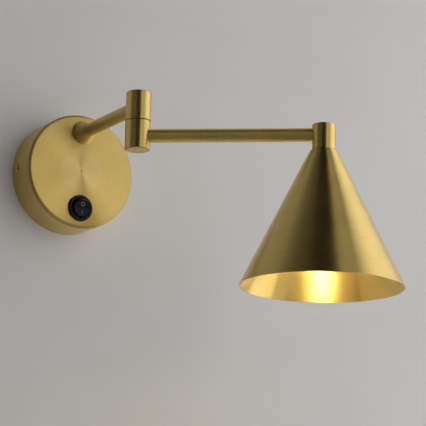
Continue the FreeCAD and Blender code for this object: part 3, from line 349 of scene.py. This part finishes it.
bright_brass = plain_material("turned_brass", dark=(0.52, 0.36, 0.12), light=(0.70, 0.52, 0.22),
                              cloud_size=0.003, grit_size=0.0003, rough=0.22,
                              rough_spread=0.14, grit_depth=0.000008, Metallic=1.0)
dress(bright_brass, "terminal_sleeves")
dress(zinc, "terminal_screws")

soft_black = plain_material("black_sheath", dark=(0.012, 0.012, 0.012), light=(0.03, 0.03, 0.03),
                            cloud_size=0.008, grit_size=0.0005, rough=0.48, rough_spread=0.2,
                            grit_depth=0.00002)
dress(soft_black, "inner_flex", "outer_flex", "switch_leads", "cable_grommet")


# ------------------------------------------------------------------ rocker switch
# Round black nylon rocker switch, moulded glossy, snapped into the canopy's front, its
# rocker printed with a pale O above and I below. Inside, a coiled steel spring presses a white
# nylon plunger on a brass seesaw contact.
black_nylon = plain_material("black_nylon", dark=(0.005, 0.004, 0.008),
                             light=(0.009, 0.007, 0.013), cloud_size=0.005, grit_size=0.0004,
                             rough=0.26, rough_spread=0.12, grit_depth=0.000004,
                             Specular_IOR_Level=0.22)
dress(black_nylon, "switch_housing", "switch_rocker")
dress(white_nylon, "switch_plunger")
dress(bright_brass, "switch_terminals", "switch_seesaw")

print_ink = plain_material("pale_ink", dark=(0.22, 0.25, 0.17), light=(0.32, 0.35, 0.25),
                           cloud_size=0.001, grit_size=0.0002, rough=0.5, rough_spread=0.2,
                           grit_depth=0.000004)

joint_place = {joint["name"]: Vector(joint["pos_m"]) for joint in frame["joints"]}
ROCKER_PIVOT = joint_place["switch_rock"]
ROCKER_TILT = math.radians(9)
FACE_HEIGHT = 0.0040                # from the pivot to the crease between its halves
FACE_SLOPE = math.radians(6)
INK_HEIGHT = 0.00006
INK_SUNK = 0.00002
INK_BEVEL = 0.00001
O_INNER_RADIUS = 0.00135
O_OUTER_RADIUS = 0.00190
O_FROM_PIVOT = 0.0033
O_STEPS = 48
I_WIDTH = 0.0005
I_LENGTH = 0.0036
I_FROM_PIVOT = 0.0040
SHARP_ANGLE = math.radians(35)


def tipped(shape):
    """Turns a shape drawn with the pivot at the origin to the rocker's tilt and place."""
    bmesh.ops.rotate(shape, verts=shape.verts, cent=(0, 0, 0),
                     matrix=Matrix.Rotation(ROCKER_TILT, 3, "X"))
    bmesh.ops.translate(shape, verts=shape.verts, vec=ROCKER_PIVOT)


def on_rocker(shape, distance, half):
    """Moves a mark drawn flat on XZ to its place on the rocker's upper or lower half."""
    bmesh.ops.translate(shape, verts=shape.verts, vec=(0, 0, half * distance))
    bmesh.ops.rotate(shape, verts=shape.verts, cent=(0, 0, 0),
                     matrix=Matrix.Rotation(half * FACE_SLOPE, 3, "X"))
    bmesh.ops.translate(shape, verts=shape.verts, vec=(0, -FACE_HEIGHT, 0))
    tipped(shape)


def finished(name, shape, material, body, smooth=True):
    """An object from a bmesh, with faces outwards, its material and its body."""
    shape.normal_update()
    bmesh.ops.recalc_face_normals(shape, faces=shape.faces)
    mesh = bpy.data.meshes.new(name)
    shape.to_mesh(mesh)
    shape.free()
    piece = bpy.data.objects.new(name, mesh)
    bpy.context.scene.collection.objects.link(piece)
    mesh.materials.append(material)
    if smooth:
        mesh.shade_smooth()
        mesh.set_sharp_from_angle(angle=SHARP_ANGLE)
    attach(piece, body)
    return piece


off_mark = bmesh.new()
section = [off_mark.verts.new((x, y, 0)) for x, y in
           ((O_INNER_RADIUS, INK_SUNK), (O_OUTER_RADIUS, INK_SUNK),
            (O_OUTER_RADIUS, -INK_HEIGHT), (O_INNER_RADIUS, -INK_HEIGHT))]
for corner, following in zip(section, section[1:] + section[:1]):
    off_mark.edges.new((corner, following))
bmesh.ops.spin(off_mark, geom=off_mark.edges[:] + off_mark.verts[:], cent=(0, 0, 0),
               axis=(0, 1, 0), angle=2 * math.pi, steps=O_STEPS, use_merge=True)
on_rocker(off_mark, O_FROM_PIVOT, 1)
finished("off_mark", off_mark, print_ink, "rocker")

on_mark = bmesh.new()
bmesh.ops.create_cube(on_mark, size=1.0)
bmesh.ops.scale(on_mark, verts=on_mark.verts, vec=(I_WIDTH, INK_HEIGHT + INK_SUNK, I_LENGTH))
bmesh.ops.translate(on_mark, verts=on_mark.verts, vec=(0, (INK_SUNK - INK_HEIGHT) / 2, 0))
bmesh.ops.bevel(on_mark, geom=on_mark.edges[:], offset=INK_BEVEL, affect="EDGES", segments=1,
                profile=0.5, material=-1)
on_rocker(on_mark, I_FROM_PIVOT, -1)
finished("on_mark", on_mark, print_ink, "rocker", smooth=False)

SPRING_START = 0.0020               # behind the pivot, in the rocker's stem
SPRING_LENGTH = 0.0046
SPRING_RADIUS = 0.0009
SPRING_WIRE = 0.0002
SPRING_TURNS = 7
STEPS_A_TURN = 24
WIRE_SIDES = 10
spring_steps = SPRING_TURNS * STEPS_A_TURN
spring_rise = (SPRING_LENGTH - 2 * SPRING_WIRE) / spring_steps
coils = bmesh.new()
bmesh.ops.create_circle(coils, cap_ends=True, segments=WIRE_SIDES, radius=SPRING_WIRE)
bmesh.ops.translate(coils, verts=coils.verts,
                    vec=(SPRING_RADIUS, SPRING_START + SPRING_WIRE, 0))
bmesh.ops.spin(coils, geom=coils.faces[:] + coils.edges[:] + coils.verts[:], cent=(0, 0, 0),
               axis=(0, 1, 0), dvec=(0, spring_rise, 0), angle=SPRING_TURNS * 2 * math.pi,
               steps=spring_steps)
tipped(coils)
spring = finished("switch_spring_coils", coils, zinc, "rocker")
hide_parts("switch_spring")


# ------------------------------------------------------------------ inner arm
# Brass tube, 11.4 mm across, straight out of the wall, with a turned cone at its root; satin
# brushed round and round like the canopy. A plated hollow stud, washer and nut hold it inside.
upper_low, upper_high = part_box("upper_knuckle")
ARM_LINE = (0.0, 0.0, (upper_low.z + upper_high.z) / 2)
inner_brass, _, _ = satin_brass("inner_arm_brass", ARM_LINE, OUT_OF_WALL, streaks=2.0)
dress(inner_brass, "arm_flange", "inner_arm_tube")
dress(zinc, "arm_stud", "arm_washer", "arm_nut")


# ------------------------------------------------------------------ elbow
# Two equal barrels, turned from brass bar, on a hollow pivot, with a dark washer between
# them, a spring washer and a nut in the lower one, and a screwed cap flush in each end. Shade
# is painted along their edges beside the seam and at their ends.
ELBOW = joint_place["elbow_swing"]
UPWARDS = (0.0, 0.0, 1.0)
BARREL_RADIUS = upper_high.x
ELBOW_HALF_HEIGHT = upper_high.z - ELBOW.z
SEAM_FULL = 0.0002                  # painted shade bands, measured from the seam,
SEAM_END = 0.0009
END_EDGE_START = 0.0013             # in from the ends
END_EDGE_FULL = 0.0005
SIDE_EDGE_START = 0.0013            # and in from the side
SIDE_EDGE_FULL = 0.0004
elbow_brass, tree, shader = satin_brass("elbow_brass", ELBOW, UPWARDS, streaks=2.0)
height, radius = from_axis(tree, ELBOW, UPWARDS)
from_seam = maths(tree, "ABSOLUTE", height)
seam = ramp(tree, from_seam, SEAM_FULL, SEAM_END, 1.0, 0.0)
ends = ramp(tree, from_seam, ELBOW_HALF_HEIGHT - END_EDGE_START,
            ELBOW_HALF_HEIGHT - END_EDGE_FULL)
# Painted shade along the barrels' edges beside the seam and at both ends.
paint_edge_shade(tree, shader, maths(tree, "ADD", seam, ends), radius, BARREL_RADIUS,
         SIDE_EDGE_START, SIDE_EDGE_FULL)
dress(elbow_brass, "upper_knuckle", "upper_cap", "lower_knuckle", "lower_cap")
# A real nylon washer, made black so that it also paints the shade in the seam between the
# barrels.
dress(black_nylon, "friction_washer")
dress(bright_brass, "pivot_sleeve", "pivot_nut")
dress(zinc, "wave_washer")


# ------------------------------------------------------------------ outer arm
# The same brass tube as the inner arm, brushed a little duller, from the lower barrel to the
# head. At rest it is swung to the right from straight out of the wall.
SWING = math.radians(53.2)
ALONG_ARM = (math.sin(SWING), -math.cos(SWING), 0.0)
lower_low, lower_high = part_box("lower_knuckle")
OUTER_ARM_START = (ELBOW.x, ELBOW.y, (lower_low.z + lower_high.z) / 2)
outer_brass, _, _ = satin_brass("outer_arm_brass", OUTER_ARM_START, ALONG_ARM, streaks=2.0,
                                rough=0.45)
dress(outer_brass, "outer_arm_tube")


# ------------------------------------------------------------------ head and shade
# A small closed barrel turned from brass bar, and a cone spun from 0.9 mm brass sheet,
# 135 mm across its rim; both are satin brushed round their common upright axis. A plated stud
# and nut hold the cone. Its inside is smoother, and painted brighter as lamplight; the
# barrel's foot has shade painted where it meets the cone.
shade_low, shade_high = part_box("shade")
HEAD = ((shade_low.x + shade_high.x) / 2, (shade_low.y + shade_high.y) / 2, 0.0)
head_low, head_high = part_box("head_barrel")
HEAD_RADIUS = (head_high.x - head_low.x) / 2
head_brass, tree, shader = satin_brass("head_brass", HEAD, UPWARDS, streaks=2.0)
height, radius = from_axis(tree, HEAD, UPWARDS)
# Painted shade round the barrel's foot, where it meets the cone.
foot = ramp(tree, height, shade_high.z + SEAM_FULL, shade_high.z + SEAM_END, 1.0, 0.0)
paint_edge_shade(tree, shader, foot, radius, HEAD_RADIUS, SIDE_EDGE_START, SIDE_EDGE_FULL)
dress(head_brass, "head_barrel")
dress(zinc, "head_stud", "head_nut")

RIM_RADIUS = (shade_high.x - shade_low.x) / 2
TOP_RADIUS = 0.0111
FLARE = (RIM_RADIUS - TOP_RADIUS) / (shade_high.z - shade_low.z)
OUTER_SKIN = 0.0003                 # depths in the 0.9 mm sheet where its outside ends
INNER_SKIN = 0.0006                 # and its inside begins
INSIDE_ROUGH = 0.265
INSIDE_CALM = 0.7                   # the share of the grain's relief that the inside lacks
# Painted lamplight: the inside is tinted brighter, as the lamp lights it.
INSIDE_LAMPLIGHT = (0.78, 0.56, 0.15)
INSIDE_SHARE = 0.6
shade_brass, tree, shader = satin_brass("shade_brass", HEAD, UPWARDS, rough=0.38, stretch=0.97,
                                        contrast=0.6)
height, radius = from_axis(tree, HEAD, UPWARDS)
cone = maths(tree, "MULTIPLY_ADD", height, -FLARE, TOP_RADIUS + FLARE * shade_high.z)
depth = maths(tree, "SUBTRACT", cone, radius)
inside = ramp(tree, depth, OUTER_SKIN, INNER_SKIN)
outer_rough = shader.inputs["Roughness"].links[0].from_socket
outer_share = maths(tree, "MULTIPLY", outer_rough, maths(tree, "SUBTRACT", 1.0, inside))
both_rough = maths(tree, "MULTIPLY_ADD", inside, INSIDE_ROUGH, outer_share)
tree.links.new(both_rough, shader.inputs["Roughness"])
relief = shader.inputs["Normal"].links[0].from_node
calm = maths(tree, "MULTIPLY_ADD", inside, -INSIDE_CALM, 1.0)
calmer = maths(tree, "MULTIPLY", calm, relief.inputs["Height"].links[0].from_socket)
tree.links.new(calmer, relief.inputs["Height"])
# Painted lamplight over the inside of the cone.
tint(tree, shader, maths(tree, "MULTIPLY", inside, INSIDE_SHARE), INSIDE_LAMPLIGHT)
dress(shade_brass, "shade")


# ------------------------------------------------------------------ lampholder and lamp
# White ceramic two-pin holder with brass contacts, riveted on a plated stirrup, and a plug-in
# lamp: a ceramic foot and an upright column of light, brightest at its two sides, under a
# frosted cover.
ceramic = plain_material("fired_ceramic", dark=(0.76, 0.75, 0.71), light=(0.88, 0.87, 0.84),
                         cloud_size=0.005, grit_size=0.0005, rough=0.55, rough_spread=0.2,
                         grit_depth=0.00002)
dress(ceramic, "lampholder", "lamp_base")
dress(zinc, "lamp_stirrup", "holder_rivets", "lamp_pins")
dress(bright_brass, "holder_contacts")

ACROSS_COLUMN = (0.864, -0.504, 0.0)
STRIP_START = 0.0020                # from the column's middle
STRIP_FULL = 0.0034
MIDDLE_GLOW = 0.12
DEEP_GLOW = (1.0, 0.86, 0.58, 1)
PALE_GLOW = (1.0, 0.93, 0.70, 1)
column, tree, shader = new_material("light_column", Roughness=0.4, Emission_Strength=7000.0)
cloud, _ = mottled(tree, cloud_size=0.004, grit_size=0.0008)
glow = blend_colour(tree, cloud, DEEP_GLOW, PALE_GLOW)
tree.links.new(glow, shader.inputs["Base Color"])
place = add(tree, "ShaderNodeTexCoord").outputs["Object"]
around = vectors(tree, "SUBTRACT", place, HEAD)["Vector"]
sideways = vectors(tree, "DOT_PRODUCT", around, ACROSS_COLUMN)["Value"]
strips = ramp(tree, maths(tree, "ABSOLUTE", sideways), STRIP_START, STRIP_FULL,
              MIDDLE_GLOW, 1.0)
lit = blend_colour(tree, strips, (0, 0, 0, 1), glow)
tree.links.new(lit, shader.inputs["Emission Color"])
dress(column, "lamp_core")

FROST_ROUGH = 0.3
FROST_SPREAD = 0.1
VEIL = 0.22
VEIL_SPREAD = 0.05
DEEP_FROST = (1.0, 0.88, 0.62, 1)
PALE_FROST = (1.0, 0.94, 0.74, 1)
frosted, tree, shader = new_material("frosted_cover", Emission_Strength=100.0)
cloud, grit = mottled(tree, cloud_size=0.008, grit_size=0.0004)
frost_glow = blend_colour(tree, cloud, DEEP_FROST, PALE_FROST)
tree.links.new(frost_glow, shader.inputs["Emission Color"])
frost_rough = maths(tree, "MULTIPLY_ADD", grit, FROST_SPREAD, FROST_ROUGH)
tree.links.new(frost_rough, shader.inputs["Roughness"])
veil = maths(tree, "MULTIPLY_ADD", cloud, VEIL_SPREAD, VEIL)
tree.links.new(veil, shader.inputs["Alpha"])
dress(frosted, "lamp_cover")


# ------------------------------------------------------------------ wall, floor, light, camera
# Plain pale wall behind the lamp and plain pale floor under it, both seen from their front
# only; four large soft boxes and a dim room.
ROOM_WIDTH = 24.0
WALL_HEIGHT = 3.2
FLOOR_DEPTH = 14.0
FLOOR_LEVEL = -1.2
PALE = 0.05                         # glow of the paint, seen directly and in reflections only


def one_sided(name, dark, light):
    """A painted surface, clear from behind, a little paler to the eye and in reflections."""
    material = plain_material(name, dark, light, cloud_size=0.2, grit_size=0.002, rough=0.7,
                              rough_spread=0.2, grit_depth=0.00001)
    tree = material.node_tree
    shader = tree.nodes["Principled BSDF"]
    path = add(tree, "ShaderNodeLightPath").outputs
    seen = maths(tree, "MAXIMUM", path["Is Camera Ray"], path["Is Glossy Ray"])
    seen = maths(tree, "MAXIMUM", seen, path["Is Transmission Ray"])
    tree.links.new(shader.inputs["Base Color"].links[0].from_socket,
                   shader.inputs["Emission Color"])
    tree.links.new(maths(tree, "MULTIPLY", seen, PALE), shader.inputs["Emission Strength"])
    clear = add(tree, "ShaderNodeBsdfTransparent")
    back = add(tree, "ShaderNodeNewGeometry").outputs["Backfacing"]
    front = shader.outputs[0]
    both = add(tree, "ShaderNodeMixShader", {0: back, 1: front, 2: clear.outputs[0]})
    tree.links.new(both.outputs[0], tree.nodes["Material Output"].inputs["Surface"])
    return material


def stage_plane(name, material, place, turn, width, depth):
    """A flat sheet of the stage."""
    sheet = bmesh.new()
    bmesh.ops.create_grid(sheet, x_segments=1, y_segments=1, size=0.5)
    bmesh.ops.scale(sheet, verts=sheet.verts, vec=(width, depth, 1))
    bmesh.ops.rotate(sheet, verts=sheet.verts, cent=(0, 0, 0), matrix=turn)
    bmesh.ops.translate(sheet, verts=sheet.verts, vec=place)
    mesh = bpy.data.meshes.new(name)
    sheet.to_mesh(mesh)
    sheet.free()
    made = bpy.data.objects.new(name, mesh)
    bpy.context.scene.collection.objects.link(made)
    mesh.materials.append(material)


wall_paint = one_sided("wall_paint", (0.82, 0.805, 0.795), (0.85, 0.835, 0.825))
floor_paint = one_sided("floor_paint", (0.58, 0.57, 0.555), (0.62, 0.61, 0.595))
stage_plane("wall", wall_paint, (0, 0, FLOOR_LEVEL + WALL_HEIGHT / 2),
            Matrix.Rotation(math.radians(90), 3, "X"), ROOM_WIDTH, WALL_HEIGHT)
stage_plane("floor", floor_paint, (0, -FLOOR_DEPTH / 2, FLOOR_LEVEL), Matrix.Identity(3),
            ROOM_WIDTH, FLOOR_DEPTH)

world = bpy.data.worlds.new("room")
world.use_nodes = True
room_light = world.node_tree.nodes["Background"]
room_light.inputs["Color"].default_value = (1.0, 0.82, 0.58, 1)
room_light.inputs["Strength"].default_value = 0.009
bpy.context.scene.world = world


def soft_box(name, place, facing, width, height, radiance):
    """A soft box that the camera doesn't see, centred at place and shining along facing."""
    light = bpy.data.lights.new(name, "AREA")
    light.shape = "RECTANGLE"
    light.size = width
    light.size_y = height
    light.energy = radiance * math.pi * width * height
    holder = bpy.data.objects.new(name, light)
    bpy.context.scene.collection.objects.link(holder)
    holder.location = place
    holder.rotation_euler = Vector(facing).to_track_quat("-Z", "Y").to_euler()
    holder.visible_camera = False


soft_box("right_box", place=(1.35, -0.64, 0.65), facing=(-1, 0, 0),
         width=1.22, height=3.5, radiance=1.35)
soft_box("front_right_box", place=(1.17, -1.57, 0.15), facing=(-0.62, 0.79, 0),
         width=0.9, height=2.3, radiance=1.0)
soft_box("front_box", place=(0.29, -2.12, 0.70), facing=(-0.087, 0.996, 0),
         width=1.0, height=2.6, radiance=0.8)
soft_box("left_box", place=(-1.41, -0.775, 0.35), facing=(0.92, 0.39, 0),
         width=1.15, height=1.4, radiance=0.12)

CAMERA_PLACE = (-0.78864, -1.61089, -0.43797)
YAW = math.radians(30.28)
PITCH = math.radians(12.92)
ROLL = math.radians(1.37)
FOCAL_PIXELS = 2096.78
PICTURE_WIDTH = 426
SENSOR_WIDTH = 36.0
FARTHEST_SEEN = 100.0
camera_data = bpy.data.cameras.new("camera")
camera_data.sensor_width = SENSOR_WIDTH
camera_data.lens = FOCAL_PIXELS / PICTURE_WIDTH * SENSOR_WIDTH
camera_data.clip_end = FARTHEST_SEEN
camera = bpy.data.objects.new("camera", camera_data)
bpy.context.scene.collection.objects.link(camera)
ahead = Vector((math.sin(YAW) * math.cos(PITCH), math.cos(YAW) * math.cos(PITCH),
                math.sin(PITCH)))
level = Vector((math.cos(YAW), -math.sin(YAW), 0))
upright = level.cross(ahead)
right = level * math.cos(ROLL) + upright * math.sin(ROLL)
top = right.cross(ahead)
turned = Matrix((right, top, -ahead)).transposed().to_4x4()
camera.matrix_world = Matrix.Translation(CAMERA_PLACE) @ turned
bpy.context.scene.camera = camera
bpy.context.scene.view_settings.view_transform = "Standard"
